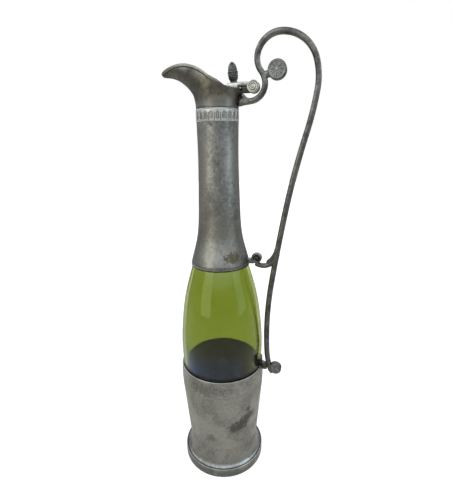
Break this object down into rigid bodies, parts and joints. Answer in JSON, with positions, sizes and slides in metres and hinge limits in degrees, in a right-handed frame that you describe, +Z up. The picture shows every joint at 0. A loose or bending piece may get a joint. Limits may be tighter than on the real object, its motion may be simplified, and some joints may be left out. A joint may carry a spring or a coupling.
{
  "type": "lidded glass flagon",
  "caption": "Tall green glass flagon with a pewter base cup, neck sleeve, beaked spout with hinged lid and acorn thumbpiece, and a long scroll handle.",
  "frame": {"origin": "centre of the foot's underside", "axes": "+Z up along the bottle, +X towards the handle, -X towards the spout, Y along the hinge axis"},
  "size_m": [0.1254, 0.0786, 0.3856],
  "materials": {
    "pewter": "dull, mottled with oxide",
    "handle_pewter": "dull cast, darker in the hollows",
    "green_glass": "clear yellow-green",
    "plaster": "matt",
    "pin_brass": "dull"
  },
  "bodies": {
    "flagon": {"foot_ring": "pewter", "base_disc": "pewter", "base_cup": "pewter", "base_plaster": "plaster", "glass_bottle": "green_glass", "neck_sleeve": "pewter", "neck_plaster": "plaster", "frieze_band": "pewter", "spout": "pewter", "hinge_leaf": "pewter", "hinge_pin": "pin_brass", "hinge_cap_near": "pewter", "hinge_cap_far": "pewter", "handle_bar": "handle_pewter", "handle_root": "handle_pewter", "upper_rosette": "handle_pewter", "lower_rosette": "handle_pewter", "scroll_branch": "handle_pewter", "scroll_lug": "handle_pewter", "rim_lug": "handle_pewter"},
    "lid": {"lid_plate": "pewter", "lid_strap": "pewter", "acorn_thumbpiece": "pewter"}
  },
  "joints": [
    {"name": "lid_hinge", "type": "hinge", "parent": "flagon", "child": "lid", "pos_m": [0.0292, 0, 0.3476], "axis": [0, 1, 0], "range_deg": [0, 40]}
  ]
}
